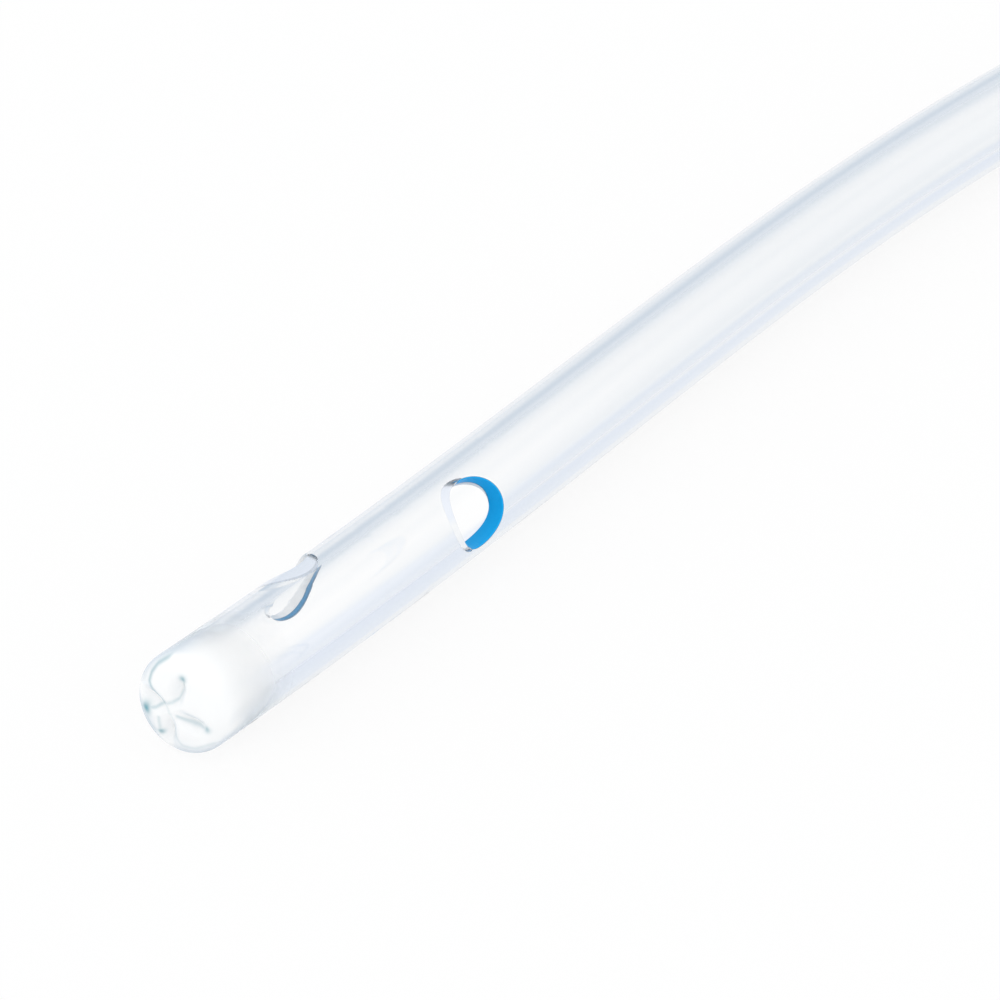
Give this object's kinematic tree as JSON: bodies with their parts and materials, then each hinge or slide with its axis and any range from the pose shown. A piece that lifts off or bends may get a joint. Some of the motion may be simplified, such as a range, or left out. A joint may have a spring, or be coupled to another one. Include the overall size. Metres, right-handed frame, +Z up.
{
  "type": "rectal tube",
  "caption": "Clear flexible drainage tube with a closed, lobed, rounded tip, oval side eyes through its wall and a funnel connector at its other end.",
  "frame": {"origin": "on the ground, below the middle of the whole object's box", "axes": "+X from the closed tip towards the connector's mouth, +Z up from the ground that the tube lies on"},
  "size_m": [0.4004, 0.0474, 0.0142],
  "materials": {
    "clear_tube": "clear, glossy, soft PVC",
    "blue_connector": "translucent, satin, soft PVC"
  },
  "bodies": {
    "root": {"tube": "clear_tube", "funnel_connector": "blue_connector"}
  },
  "joints": []
}
